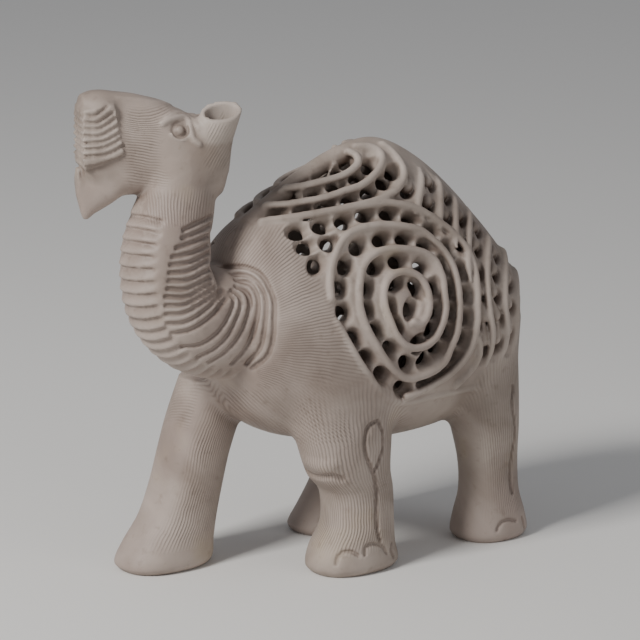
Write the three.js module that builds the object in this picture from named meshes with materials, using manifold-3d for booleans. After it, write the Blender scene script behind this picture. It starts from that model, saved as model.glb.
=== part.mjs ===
// A camel carved from one block of soapstone, walking with its head turned to its right.
// Its body is a hollow shell, pierced all over by rows of holes that run between carved spiral ribs.
// Millimetres, +Z up. +X is the way the body faces and +Y is the camel's left. The soles stand on z = 0.
import * as THREE from 'three';
import { mergeVertices } from 'three/addons/utils/BufferGeometryUtils.js';
import Module from 'manifold-3d';

const wasm = await Module();
wasm.setup();

// Driving sizes in millimetres
const HEIGHT = 125;              // soles to the top of the nose: the figure's proportions are shares of it
const WALL = 4.2;                // thickness of the pierced shell
const HOLE_WIDTH = 3.5;          // clear width of one pierced hole
const HOLE_PITCH = 8.2;          // from hole to hole along a channel
const HOLE_RAMP = 1.4;           // length of the sloped side that leads down into each hole
const CHANNEL = 6.1;             // from rib to rib across a flank spiral
const RIB_WIDTH = 1.6;           // width of a carved rib at its top
const RIB_HEIGHT = 1.0;          // how far a rib stands proud of the shell
const BORDER_WIDTH = 1.5;        // the thin raised line round the pierced blanket
const BORDER_HEIGHT = 0.5;
const NECK_RIDGE_PITCH = 3.6;    // from ridge to ridge down the throat
const NECK_RIDGE_DEPTH = 0.8;
const LIP_RIDGE_PITCH = 2.4;     // from ridge to ridge up the side of the upper lip
const LIP_RIDGE_DEPTH = 0.6;
const LIP_PROUD = 1.1;           // how far the upper lip stands out from the cheek
const EAR_WALL = 1.2;
const EAR_SIDES = 10;
const EYE_BEAD = 2.3;            // width of the round eye
const LID_WIDTH = 1.1;           // width of the carved lines round the eye
const LID_HEIGHT = 0.33;
const TAIL_WIDTH = 3.4;
const TAIL_HEIGHT = 1.4;         // how far the tail stands out of the rump
const SUNK = 1.2;                // how deep a raised line is rooted in the stone under it
const ROOF_FOOT = 1.6;           // width of a raised line's foot, in widths of its top

const SHARE = HEIGHT / 100;      // one hundredth of the height, the unit of every table below
const LEFT = 1;
const RIGHT = -1;

// Tables of sections, in hundredths of the height

// x, half width, lowest z, z of the widest place, crest z, roundness above it, roundness below it
const BODY = [
  [-37.0, 8.0, 40.0, 49.0, 55.6, 1.9, 2.0],
  [-35.6, 12.0, 35.0, 49.5, 59.2, 1.85, 2.1],
  [-32.0, 15.4, 30.0, 49.0, 65.0, 1.7, 2.2],
  [-25.8, 18.6, 26.0, 47.5, 72.0, 1.58, 2.3],
  [-15.8, 20.0, 24.2, 46.7, 80.4, 1.5, 2.4],
  [-6.0, 20.4, 23.8, 46.0, 85.2, 1.5, 2.5],
  [3.0, 20.2, 24.3, 46.0, 84.4, 1.5, 2.5],
  [13.0, 19.4, 25.8, 47.0, 80.6, 1.6, 2.4],
  [23.0, 17.0, 28.5, 49.5, 75.0, 1.75, 2.2],
  [30.0, 13.5, 33.5, 52.0, 70.0, 1.9, 2.1],
  [34.5, 7.5, 41.7, 53.3, 62.5, 2.0, 2.0],
];

// z, x, y, half length, half width
const LEGS = {
  leftFront: [
    [0, 9.2, 12.1, 8.8, 6.3], [1.3, 9.2, 12.1, 10, 7.3], [5, 9.2, 12.1, 9.2, 7.1],
    [10, 7.9, 12.1, 7.5, 6.7], [16.7, 8.2, 12.1, 7.6, 6.5], [20.4, 10.3, 12.5, 8.8, 6.7],
    [26.5, 11.4, 12.5, 10.1, 7.1], [35, 11.8, 11.7, 11.6, 7.5], [46, 12.5, 10.4, 12.5, 7.5],
  ],
  rightFront: [
    [0, 38.5, -12.9, 9.2, 6.7], [1.3, 38.5, -12.9, 10.4, 7.8], [5, 37.3, -12.9, 9.6, 7.5],
    [10, 34.9, -12.9, 8, 7.1], [16.7, 32.6, -12.9, 7.2, 7.1], [23.3, 30.6, -12.9, 7.1, 7.1],
    [30, 27.9, -12.9, 7.5, 7.3], [38.3, 23.6, -11.7, 9.4, 7.5],
  ],
  leftHind: [
    [0, -27.5, 12.1, 7.1, 6.1], [1.3, -27.5, 12.1, 8.2, 6.9], [5, -27.5, 12.1, 7.5, 6.7],
    [10, -27.4, 12.1, 6.2, 5.8], [16.7, -27, 12.1, 6.1, 5.8], [25, -26, 12.1, 7.2, 6.5],
    [35, -25.4, 10.8, 8.8, 6.7], [46, -25.4, 9.2, 9.4, 6.7],
  ],
  rightHind: [
    [0, -4.4, -12.9, 8.1, 6.3], [1.3, -4.4, -12.9, 9, 7.1], [5, -5.9, -12.9, 8, 6.7],
    [10, -8, -12.9, 6.7, 6.3], [16.7, -10.8, -12.9, 6.7, 6.3], [25, -14.2, -12.9, 8.3, 6.9],
    [35, -18.3, -11.7, 10, 7.5], [46, -21.7, -10, 10.8, 7.5],
  ],
};

// x, y, z of the neck's middle line, half depth, half width, from inside the chest up into the skull
const NECK = [
  [21.7, 0, 53.3, 12.5, 10.8],
  [29.2, 0, 52.5, 12.1, 10.4],
  [37.5, -0.4, 53.3, 11.0, 9.8],
  [43.8, -0.8, 58.8, 10.0, 9.2],
  [45.2, -1.7, 68.3, 8.8, 8.2],
  [42.0, -2.4, 78.0, 7.2, 7.0],
  [40.2, -2.8, 85.5, 6.6, 6.0],
];

// Where the head sits, and how far it turns to the camel's right
const HEAD_AT = new THREE.Vector3(37.5, -2.5, 0).multiplyScalar(SHARE);
const HEAD_TURN = THREE.MathUtils.degToRad(-22);

// distance forward from HEAD_AT, top, bottom, half width, roundness
const SKULL = [
  [-6.4, 89.5, 81.0, 2.5, 2.0],
  [-5.4, 91.2, 78.5, 4.6, 2.0],
  [-2.6, 93.4, 77.5, 6.3, 2.1],
  [1.5, 95.0, 77.5, 7.0, 2.2],
  [6.0, 97.2, 78.2, 6.6, 2.3],
  [10.5, 98.8, 79.6, 5.4, 2.5],
  [14.5, 99.6, 79.6, 4.6, 2.8],
  [20.0, 100, 81.0, 4.2, 3.0],
  [22.4, 99.4, 83.0, 3.7, 3.0],
];

// The hanging lower lip: distance forward, top, bottom, half width, roundness
const JAW = [
  [10.5, 87.0, 79.4, 4.4, 2.2],
  [14.5, 86.8, 79.2, 4.3, 2.2],
  [17.0, 86.2, 77.6, 3.8, 2.1],
  [20.0, 85.6, 75.9, 3.0, 2.0],
  [22.3, 85.3, 74.9, 2.0, 2.0],
  [23.6, 85.2, 79.5, 1.6, 2.0],
];

const clamp = THREE.MathUtils.clamp;

// One row of a table at any value of its first column, on smooth curves through the rows
function rowAt(rows, value) {
  const last = rows.length - 1;
  let i = 0;
  while (i < last - 1 && value > rows[i + 1][0]) i += 1;
  const [before, from] = [rows[Math.max(i - 1, 0)], rows[i]];
  const [to, after] = [rows[i + 1], rows[Math.min(i + 2, last)]];
  const span = to[0] - from[0];
  const t = clamp((value - from[0]) / span, 0, 1);
  return from.map((start, k) => {
    const leave = (to[k] - before[k]) / (to[0] - before[0]) * span;
    const arrive = (after[k] - start) / (after[0] - from[0]) * span;
    const end = to[k];
    return (2 * t ** 3 - 3 * t ** 2 + 1) * start + (t ** 3 - 2 * t ** 2 + t) * leave
      + (3 * t ** 2 - 2 * t ** 3) * end + (t ** 3 - t ** 2) * arrive;
  });
}

// Stations along a table: every row, and the places between rows that divide each span
function stations(rows, steps) {
  const out = [];
  for (let i = 0; i < rows.length - 1; i += 1) {
    for (let k = 0; k < steps; k += 1) out.push(rows[i][0] + (rows[i + 1][0] - rows[i][0]) * k / steps);
  }
  out.push(rows.at(-1)[0]);
  return out;
}

const power = (value, exponent) => Math.sign(value) * Math.abs(value) ** exponent;

// A closed skin through rings of points, with a fan at each end
function skin(rings) {
  const sides = rings[0].length;
  const points = rings.flat();
  const tail = points.length;
  const middle = (ring) => ring.reduce((sum, p) => sum.add(p), new THREE.Vector3()).divideScalar(ring.length);
  const all = [...points, middle(rings[0]), middle(rings.at(-1))];
  const index = [];
  for (let i = 0; i < rings.length - 1; i += 1) {
    for (let j = 0; j < sides; j += 1) {
      const a = i * sides + j;
      const b = i * sides + (j + 1) % sides;
      index.push(a, b, b + sides, a, b + sides, a + sides);
    }
  }
  const end = (rings.length - 1) * sides;
  for (let j = 0; j < sides; j += 1) {
    const next = (j + 1) % sides;
    index.push(tail, next, j, tail + 1, end + j, end + next);
  }
  const geometry = new THREE.BufferGeometry();
  geometry.setAttribute('position', new THREE.Float32BufferAttribute(all.flatMap((p) => [p.x, p.y, p.z]), 3));
  geometry.setIndex(index);
  return geometry;
}

// Signed volume: it is negative when the faces point in
function volumeOf(geometry) {
  const at = geometry.getAttribute('position');
  const index = geometry.getIndex().array;
  const corner = (i) => new THREE.Vector3().fromBufferAttribute(at, index[i]);
  let sum = 0;
  for (let i = 0; i < index.length; i += 3) sum += corner(i).dot(corner(i + 1).cross(corner(i + 2))) / 6;
  return sum;
}

// A closed geometry as a solid that can be joined and cut
function solid(geometry) {
  const bare = geometry.clone();
  bare.deleteAttribute('normal');
  bare.deleteAttribute('uv');
  const merged = mergeVertices(bare);
  const triVerts = Uint32Array.from(merged.getIndex().array);
  if (volumeOf(merged) < 0) {
    for (let i = 0; i < triVerts.length; i += 3) {
      [triVerts[i], triVerts[i + 1]] = [triVerts[i + 1], triVerts[i]];
    }
  }
  const vertProperties = Float32Array.from(merged.getAttribute('position').array);
  return new wasm.Manifold(new wasm.Mesh({ numProp: 3, vertProperties, triVerts }));
}

const join = (solids) => solids.reduce((sum, next) => sum.add(next));

// Rings of a rounded section. Each ring is a centre, two half-size vectors and a roundness
function ovalRing(centre, across, up, roundness, sides) {
  return Array.from({ length: sides }, (_, i) => {
    const angle = (i + 0.5) / sides * 2 * Math.PI;
    return centre.clone()
      .addScaledVector(across, power(Math.cos(angle), 2 / roundness))
      .addScaledVector(up, power(Math.sin(angle), 2 / roundness));
  });
}

// The barrel with its hump. The inset moves its skin inward, in millimetres
const CREST_INSET = 1.35;        // the crest slopes, so its inset is deeper than the wall
function barrel(from, to, sides, steps, inset, floor) {
  const places = stations(BODY, steps).filter((x) => x >= from && x <= to);
  return places.map((x) => {
    const [, w, low, wide, top, above, below] = rowAt(BODY, x).map((value) => value * SHARE);
    return Array.from({ length: sides }, (_, i) => {
      const angle = i / sides * 2 * Math.PI;
      const upper = Math.sin(angle) > 0;
      const roundness = (upper ? above : below) / SHARE;
      const reach = upper ? top - inset * CREST_INSET - wide : wide - low - inset;
      const y = (w - inset) * power(Math.cos(angle), 2 / roundness);
      const z = wide + reach * power(Math.sin(angle), 2 / roundness);
      return new THREE.Vector3(x * SHARE, y, Math.max(z, floor));
    });
  });
}

// How far a point is outside the barrel's skin, as a pure number: zero on the skin
function outside(p) {
  const [, w, low, wide, top, above, below] = rowAt(BODY, p.x / SHARE).map((value) => value * SHARE);
  const upper = p.z > wide;
  const roundness = (upper ? above : below) / SHARE;
  const reach = upper ? top - wide : wide - low;
  return (Math.abs(p.y) / w) ** roundness + (Math.abs(p.z - wide) / reach) ** roundness - 1;
}

function barrelNormal(p) {
  const step = 0.05;
  const slope = (axis) => {
    const ahead = p.clone();
    const back = p.clone();
    ahead[axis] += step;
    back[axis] -= step;
    return outside(ahead) - outside(back);
  };
  return new THREE.Vector3(slope('x'), slope('y'), slope('z')).normalize();
}

// The skin point beside x, z on one flank, with x and z in hundredths of the height
function onFlank(x, z, side) {
  const [, w, low, wide, top, above, below] = rowAt(BODY, x);
  const upper = z > wide;
  const roundness = upper ? above : below;
  const rise = clamp(Math.abs(z - wide) / (upper ? top - wide : wide - low), 0, 0.995);
  const y = w * (1 - rise ** roundness) ** (1 / roundness);
  return new THREE.Vector3(x, y * side, z).multiplyScalar(SHARE);
}

// The skin point above x, y near the crest, in hundredths of the height
function onTop(x, y) {
  const [, w, , wide, top, above] = rowAt(BODY, x);
  const z = wide + (top - wide) * (1 - (Math.abs(y) / w) ** above) ** (1 / above);
  return new THREE.Vector3(x, y, z).multiplyScalar(SHARE);
}

// A raised line along points of the skin: a low roof-shaped strip rooted in the stone
function ridgeLine(points, width, height, normalAt = barrelNormal) {
  const rings = points.map((p, i) => {
    const [from, to] = [points[Math.max(i - 1, 0)], points[Math.min(i + 1, points.length - 1)]];
    const ahead = to.clone().sub(from).normalize();
    const normal = normalAt(p);
    const across = ahead.cross(normal).normalize();
    const at = (side, out) => p.clone().addScaledVector(across, side).addScaledVector(normal, out);
    const foot = width * ROOF_FOOT / 2;
    return [at(-foot, -SUNK), at(foot, -SUNK), at(0, height)];
  });
  return solid(skin(rings));
}

// One pierced hole. One side drops straight in and the other slopes down like a leaf
const HOLE_OUTSIDE = 1.5;        // how far the cutter starts above the skin
const HOLE_DEPTH = 1.9;          // how deep it goes, in walls
const HOLE_SIDES = 4;
const HOLE_FLARE = 1.4;          // how far the ramp is drawn out above the skin, in ramps
const HOLE_TAPER = 0.15;         // how much the ramp's side closes in at the bottom, in hole widths
function holeAt(p, along) {
  const normal = barrelNormal(p);
  const across = normal.clone().cross(along).normalize();
  const ahead = across.clone().cross(normal);
  const ring = (out, ramp) => Array.from({ length: HOLE_SIDES }, (_, i) => {
    const angle = i / HOLE_SIDES * 2 * Math.PI;
    const reach = Math.cos(angle) > 0 ? HOLE_WIDTH / 2 + ramp : HOLE_WIDTH / 2;
    return p.clone().addScaledVector(normal, out)
      .addScaledVector(ahead, Math.cos(angle) * reach)
      .addScaledVector(across, Math.sin(angle) * HOLE_WIDTH / 2);
  });
  const outside = ring(HOLE_OUTSIDE, HOLE_RAMP * HOLE_FLARE);
  const inside = ring(-WALL * HOLE_DEPTH, -HOLE_WIDTH * HOLE_TAPER);
  return solid(skin([outside, inside]));
}

// Points at even steps along a curve of skin points
function evenly(points, pitch) {
  const curve = new THREE.CatmullRomCurve3(points);
  const count = Math.max(1, Math.floor(curve.getLength() / pitch));
  const share = (i) => (i + 0.5) / count;
  return Array.from({ length: count }, (_, i) => ({
    at: curve.getPointAt(share(i)),
    along: curve.getTangentAt(share(i)),
  }));
}

// The spiral on each flank
const SPIRAL_AT = { x: 0, z: 54.5 };
const SPIRAL_TURNS = 3.5;
const SPIRAL_START = 4.2;        // its first radius, in hundredths of the height
// turns from the bottom round by the rear, and how many channels the rib is beyond its first radius
const SPIRAL_REACH = [
  [0, 0], [0.25, 0.18], [0.5, 0.43], [0.75, 0.55], [1, 1], [1.25, 1.15], [1.5, 1.31], [1.75, 1.66],
  [2, 1.95], [2.25, 1.91], [2.5, 2.25], [2.75, 2.95], [3, 3.07], [3.25, 2.83], [3.5, 2.99],
];
const SPIRAL_STEPS = 11;         // a rib's points to a turn
const FIRST_HOLE_TURN = 0.55;    // the turn at which the channel is wide enough for holes
const ribReach = (turn) => SPIRAL_START + rowAt(SPIRAL_REACH, turn)[1] * CHANNEL / SHARE;
// The middle of the channel inside the rib: half way to the turn before, or half a channel in
function channelReach(turn) {
  if (turn < 1) return ribReach(turn) - CHANNEL / SHARE / 2;
  return (ribReach(turn) + ribReach(turn - 1)) / 2;
}

function spiral(reachAt, from, to, side) {
  const steps = Math.round((to - from) * SPIRAL_STEPS);
  return Array.from({ length: steps + 1 }, (_, i) => {
    const turn = from + (to - from) * i / steps;
    const reach = reachAt(turn);
    const angle = (turn + 0.75) * 2 * Math.PI;
    const x = SPIRAL_AT.x - reach * Math.cos(angle);
    const z = SPIRAL_AT.z + reach * Math.sin(angle);
    return onFlank(x, z, side);
  });
}

// Nested loops on top of the hump, as x and y of each line. Each is one half on each side of the smooth crest
const LOOPS = [
  [
    [24, 5.6], [18.5, 7.9], [12.5, 9.6], [6, 10.5], [0, 10.9], [-4.5, 10],
    [-7.7, 8.5], [-8.8, 6.4], [-8, 3.4],
  ],
  [[19.5, 1.6], [14.5, 4.6], [9.5, 6.3], [4, 7.3], [-0.3, 7.2], [-2.9, 6.2], [-3.4, 4.6], [-2.4, 2.4]],
  [[14, 0.8], [10.5, 2.6], [6.5, 4.1], [3.2, 4.6], [1, 3.6], [0.6, 2]],
];
const LOOP_CHANNELS = [
  [[21.8, 3.4], [16.5, 6.2], [11, 8], [5, 8.9], [-0.2, 9], [-3.7, 8.1], [-5.6, 6.6], [-6.1, 5], [-5.2, 2.9]],
  [[16.8, 1.4], [12.5, 3.6], [8, 5.2], [3.6, 6], [0.4, 5.4], [-1.2, 4.1], [-0.9, 2.6]],
];

// x and z of the pierced blanket's edge, from the withers down the shoulder and back under the flank
const BLANKET_EDGE = [
  [24.5, 70.4], [20.8, 68.5], [20.2, 62], [16.6, 54], [12.5, 44.5], [6.5, 37.2], [1.5, 34.6],
  [-6, 34.6], [-15, 34.4], [-24, 34.0], [-31.5, 34.4],
];

// x and z of the ribs behind the spiral: four climb from it to the crest, and three run down the rump
const RUMP_RIBS = [
  [[-7, 71.5], [-9, 73.7], [-11.5, 76.2], [-14, 78.6]],
  [[-12.6, 68], [-14, 70.5], [-16.5, 73.5], [-19.2, 76]],
  [[-15.6, 63.8], [-16.6, 66.3], [-18.6, 69.3], [-22, 72.6]],
  [[-17.2, 57], [-17.6, 60], [-19.2, 63.4], [-22, 66.8], [-25.6, 69.2]],
  [[-20.4, 39], [-21.6, 45], [-21, 50.5], [-22, 56.5], [-24.4, 60.6], [-28.4, 64.2]],
  [[-25, 39], [-26.4, 45], [-26, 50.5], [-28, 55.5], [-31.5, 59], [-33.8, 60]],
  [[-29.6, 39.5], [-31, 45], [-31, 50], [-33, 54], [-35.4, 56.2]],
];

// Channels of holes between those ribs, as x and z along each channel's middle
const CHANNELS = [
  [[-4, 74.6], [-7, 76], [-9.6, 78.4]],
  [[-10.2, 70.6], [-13, 74], [-16.5, 77.4]],
  [[-14.2, 67.3], [-16.6, 70.8], [-20, 74.4]],
  [[-16.8, 62.6], [-18.4, 66], [-22, 70.2]],
  [[-19, 40.5], [-19.9, 47], [-19.4, 53], [-20.2, 59], [-22.4, 63.5], [-26, 67]],
  [[-22.8, 40.5], [-24, 46], [-23.4, 51.5], [-25, 57], [-29, 61.8]],
  [[-27.4, 41], [-28.8, 47], [-28.6, 52], [-31, 56.4]],
];
const LONE_HOLES = [[20.6, 69.4], [18.9, 66.6], [18.2, 62.6], [14.6, 71.0], [13.6, 67.4], [9.7, 70.8]];
const WITHERS_RIB = [[0, 73.3], [6, 73.3], [12, 73.0]];   // where the spiral's rib runs out forward

const flankPoints = (list, side) => list.map(([x, z]) => onFlank(x, z, side));
const topPoints = (list, side) => list.map(([x, y]) => onTop(x, side * y));

// Two holes never run into each other: a later one that comes too close to an earlier one is left out
const HOLE_CLEARANCE = 2.2;
function apart(holes) {
  const kept = [];
  for (const hole of holes) {
    const near = kept.some(({ at }) => at.distanceTo(hole.at) < HOLE_WIDTH + HOLE_CLEARANCE);
    if (!near) kept.push(hole);
  }
  return kept;
}

function blanket(side) {
  const lines = [
    spiral(ribReach, 0, SPIRAL_TURNS, side),
    flankPoints(WITHERS_RIB, side),
    ...LOOPS.map((line) => topPoints(line, side)),
    ...RUMP_RIBS.map((rib) => flankPoints(rib, side)),
  ];
  const channels = [
    spiral(channelReach, FIRST_HOLE_TURN, SPIRAL_TURNS, side),
    ...LOOP_CHANNELS.map((line) => topPoints(line, side)),
    ...CHANNELS.map((channel) => flankPoints(channel, side)),
  ];
  const level = new THREE.Vector3(1, 0, 0);
  const lone = LONE_HOLES.map(([x, z]) => ({ at: onFlank(x, z, side), along: level }));
  const holes = apart([...channels.flatMap((channel) => evenly(channel, HOLE_PITCH)), ...lone]);
  const border = ridgeLine(flankPoints(BLANKET_EDGE, side), BORDER_WIDTH, BORDER_HEIGHT);
  return {
    ribs: join([...lines.map((line) => ridgeLine(line, RIB_WIDTH, RIB_HEIGHT)), border]),
    holes: join(holes.map(({ at, along }) => holeAt(at, along))),
  };
}

// The hollow inside the shell, under the whole blanket
const HOLLOW_FROM = -36;         // hundredths of the height
const HOLLOW_TO = 24;
const HOLLOW_FLOOR = 33;
const HOLLOW_SIDES = 8;
function hollow() {
  return solid(skin(barrel(HOLLOW_FROM, HOLLOW_TO, HOLLOW_SIDES, 1, WALL, HOLLOW_FLOOR * SHARE)));
}

// A leg is a column of rounded sections that stands on a flat sole
const LEG_SIDES = 10;
const LEG_ROUNDNESS = 2.4;
function leg(rows) {
  const rings = rows.map((row) => {
    const [z, x, y, length, width] = row.map((value) => value * SHARE);
    const centre = new THREE.Vector3(x, y, z);
    return ovalRing(centre, new THREE.Vector3(length, 0, 0), new THREE.Vector3(0, width, 0), LEG_ROUNDNESS,
      LEG_SIDES);
  });
  return solid(skin(rings));
}

// The neck: a bent column with ridges all round, level across the throat and rising to the nape
const NECK_SIDES = 12;
const NECK_ROUNDNESS = 2.2;
const NECK_SHEAR = 0.25;         // how steeply the ridges rise towards the nape
const NECK_LEVEL = 0.55;         // the share of the half depth, at the throat, over which they are level
const NECK_RIDGED = 0.84;        // the ridged share of the throat line: above it the neck is smooth
function neck() {
  const middles = NECK.map(([x, y, z]) => new THREE.Vector3(x, y, z).multiplyScalar(SHARE));
  const axis = new THREE.CatmullRomCurve3(middles);
  const rows = NECK.map((row, i) => [i / (NECK.length - 1), row[3] * SHARE, row[4] * SHARE]);
  const place = (t) => {
    const [, depth, width] = rowAt(rows, t);
    const ahead = axis.getTangent(t);
    const side = new THREE.Vector3(0, 1, 0);
    side.addScaledVector(ahead, -side.dot(ahead)).normalize();
    const front = side.clone().cross(ahead);
    return { centre: axis.getPoint(t), depth, width, ahead, side, front };
  };
  // the throat line is longer than the axis, and the ridges are evenly spaced on it
  const fine = 200;
  const throat = Array.from({ length: fine + 1 }, (_, i) => {
    const { centre, depth, front } = place(i / fine);
    return centre.addScaledVector(front, depth);
  });
  const lengths = [0];
  for (let i = 1; i <= fine; i += 1) lengths.push(lengths[i - 1] + throat[i].distanceTo(throat[i - 1]));
  const ridged = lengths.at(-1) * NECK_RIDGED;
  const ridges = Math.floor(ridged / NECK_RIDGE_PITCH);
  const ring = (wanted, cut) => {
    const i = clamp(lengths.findIndex((length) => length >= wanted), 1, fine);
    const t = (i - 1 + (wanted - lengths[i - 1]) / (lengths[i] - lengths[i - 1])) / fine;
    const { centre, depth, width, ahead, side, front } = place(t);
    const level = depth * NECK_LEVEL;
    return ovalRing(centre, front.clone().multiplyScalar(depth - cut), side.multiplyScalar(width - cut),
      NECK_ROUNDNESS, NECK_SIDES).map((p) => {
      const behind = Math.max(level - p.clone().sub(centre).dot(front), 0);
      return p.addScaledVector(ahead, NECK_SHEAR * behind);
    });
  };
  const rings = [];
  for (let k = 0; k <= 2 * ridges; k += 1) {
    rings.push(ring(ridged * k / (2 * ridges), k % 2 ? NECK_RIDGE_DEPTH : 0));
  }
  rings.push(ring((ridged + lengths.at(-1)) / 2, 0), ring(lengths.at(-1), 0));
  return solid(skin(rings));
}

// Points and directions in the turned head: forward, to its left, and up
const HEAD_FORWARD = new THREE.Vector3(Math.cos(HEAD_TURN), Math.sin(HEAD_TURN), 0);
const HEAD_LEFT = new THREE.Vector3(-Math.sin(HEAD_TURN), Math.cos(HEAD_TURN), 0);
const UP = new THREE.Vector3(0, 0, 1);
const inHead = (forward, left, z) => HEAD_AT.clone()
  .addScaledVector(HEAD_FORWARD, forward).addScaledVector(HEAD_LEFT, left).addScaledVector(UP, z);

const HEAD_SIDES = 12;
function headLoft(rows) {
  const rings = rows.map((row) => {
    const [s, top, bottom, width] = row.map((value) => value * SHARE);
    const centre = inHead(s, 0, (top + bottom) / 2);
    const high = UP.clone().multiplyScalar((top - bottom) / 2);
    return ovalRing(centre, HEAD_LEFT.clone().multiplyScalar(width), high, row[4], HEAD_SIDES);
  });
  return solid(skin(rings));
}

// The upper lip: a ridged plate on each side of the muzzle
const LIP = { back: 14.3, front: 22.9, top: 98.4, bottom: 85.2, cheek: 4.2, slope: 0.3, taper: 0.13 };
const LIP_FACE = 0.55;           // the flat share of a ridge
const LIP_GROOVE = 0.8;          // where the groove above it is deepest
function lip() {
  const proud = LIP.cheek * SHARE + LIP_PROUD;
  const high = (LIP.top - LIP.bottom) * SHARE;
  const ridges = Math.round(high / LIP_RIDGE_PITCH);
  const pitch = high / ridges;
  const outline = new THREE.Shape();
  outline.moveTo(-proud, 0);
  outline.lineTo(proud, 0);
  for (let i = 0; i < ridges; i += 1) {
    outline.lineTo(proud, (i + LIP_FACE) * pitch);
    outline.lineTo(proud - LIP_RIDGE_DEPTH, (i + LIP_GROOVE) * pitch);
    outline.lineTo(proud, (i + 1) * pitch);
  }
  for (let i = ridges - 1; i >= 0; i -= 1) {
    outline.lineTo(-proud, (i + 1) * pitch);
    outline.lineTo(-proud + LIP_RIDGE_DEPTH, (i + LIP_GROOVE) * pitch);
    outline.lineTo(-proud, (i + LIP_FACE) * pitch);
  }
  const depth = (LIP.front - LIP.back) * SHARE;
  const geometry = new THREE.ExtrudeGeometry(outline, { depth, bevelEnabled: false, steps: 1 });
  const at = geometry.getAttribute('position');
  for (let i = 0; i < at.count; i += 1) {
    const left = at.getX(i);
    const forward = LIP.back * SHARE + at.getZ(i);
    const back = depth - at.getZ(i);
    const z = LIP.bottom * SHARE + at.getY(i) * (1 - LIP.taper * back / depth) + LIP.slope * back;
    const p = inHead(forward, left, z);
    at.setXYZ(i, p.x, p.y, p.z);
  }
  return solid(geometry);
}

// One ear: a cup that widens upward, open at the top. The right ear sits lower: the head tips a little
// that way. The columns are
// height, distance forward, distance out, half length, half width, in hundredths of the height
const EAR = [
  [84.0, -3.4, 3.6, 1.5, 1.5],
  [88.5, -3.8, 4.2, 2.5, 2.0],
  [92.0, -4.3, 4.7, 3.6, 2.4],
  [95.6, -4.8, 5.1, 4.4, 2.6],
];
const EAR_FLOOR = 91.0;          // where the cup's hollow starts
const EAR_OVER = 97.5;           // how high the hollow's cutter reaches
const EAR_TIP = 0.35;            // how far the rim's outer side is lower than its inner side, per width
const RIGHT_EAR_DROP = 2.6;
function ear(side) {
  const drop = side === RIGHT ? RIGHT_EAR_DROP : 0;
  const ring = (z, inset) => {
    const [, s, left, length, width] = rowAt(EAR, z);
    const centre = inHead(s * SHARE, left * side * SHARE, (z - drop) * SHARE);
    const across = HEAD_LEFT.clone().multiplyScalar(side * (width * SHARE - inset));
    across.z = -EAR_TIP * (width * SHARE - inset);
    const along = HEAD_FORWARD.clone().multiplyScalar(length * SHARE - inset);
    return ovalRing(centre, along, across, 2, EAR_SIDES);
  };
  const cup = EAR.map(([z]) => ring(z, 0));
  const rim = EAR.at(-1)[0];
  const above = ring(rim, EAR_WALL).map((p) => p.addScaledVector(UP, (EAR_OVER - rim) * SHARE));
  const inside = [ring(EAR_FLOOR, EAR_WALL), ring(rim, EAR_WALL), above];
  return solid(skin(cup)).subtract(solid(skin(inside)));
}

// Each eye is a round bead between two carved lid lines
const EYE = [3.4, 5.9, 91.4];
const BROW = [[8.6, 4.9, 92.7], [5.6, 5.7, 93.7], [2.2, 6.1, 93.5], [-1.2, 5.9, 91.4]];
const LOWER_LID = [[5.6, 6.1, 90.4], [3.4, 6.6, 89.3], [0.8, 6.6, 90.0], [-1.2, 5.9, 91.4]];
function eye(side) {
  const place = ([s, left, z]) => inHead(s * SHARE, left * side * SHARE, z * SHARE);
  const bead = new THREE.SphereGeometry(EYE_BEAD / 2, 6, 4);
  const centre = place(EYE);
  bead.translate(centre.x, centre.y, centre.z);
  const out = () => HEAD_LEFT.clone().multiplyScalar(side);
  const lids = [BROW, LOWER_LID].map((line) => ridgeLine(line.map(place), LID_WIDTH, LID_HEIGHT, out));
  return join([solid(bead), ...lids]);
}

// The tail hangs close down the middle of the rump
const TAIL = [[-33.4, 63.5], [-36.2, 57.5], [-37.8, 50], [-37.6, 42], [-36.6, 34.5], [-36.2, 28]];
function tail() {
  const points = TAIL.map(([x, z]) => new THREE.Vector3(x, 0, z).multiplyScalar(SHARE));
  return ridgeLine(points, TAIL_WIDTH, TAIL_HEIGHT, () => new THREE.Vector3(-1, 0, 0));
}

const BARREL_SIDES = 22;
function camel() {
  const [left, right] = [blanket(LEFT), blanket(RIGHT)];
  const shell = solid(skin(barrel(-Infinity, Infinity, BARREL_SIDES, 1, 0, -Infinity)));
  const trunk = join([shell, left.ribs, right.ribs, tail()]).subtract(hollow())
    .subtract(left.holes).subtract(right.holes);
  const limbs = Object.values(LEGS).map((rows) => leg(rows));
  const head = [headLoft(SKULL), headLoft(JAW), lip(), ear(LEFT), ear(RIGHT), eye(LEFT), eye(RIGHT)];
  return join([trunk, ...limbs, neck(), ...head]);
}

function meshOf(name, body, material) {
  const { vertProperties, triVerts } = body.getMesh();
  const geometry = new THREE.BufferGeometry();
  geometry.setAttribute('position', new THREE.BufferAttribute(vertProperties, 3));
  geometry.setIndex(new THREE.BufferAttribute(triVerts, 1));
  const mesh = new THREE.Mesh(geometry, material);
  mesh.name = name;
  return mesh;
}

const soapstone = new THREE.MeshStandardMaterial({ color: 0xb9aaa2, roughness: 0.6, metalness: 0 });
const carving = new THREE.Group();
carving.add(meshOf('camel', camel(), soapstone));

// The origin is under the middle of the whole figure, at the soles
const reach = new THREE.Box3().setFromObject(carving);
carving.position.set(-(reach.min.x + reach.max.x) / 2, -(reach.min.y + reach.max.y) / 2, -reach.min.z);

export default carving;
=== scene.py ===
import math

import bmesh
import bpy
import numpy as np
import openvdb as vdb
from mathutils import Matrix, Vector


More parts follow.
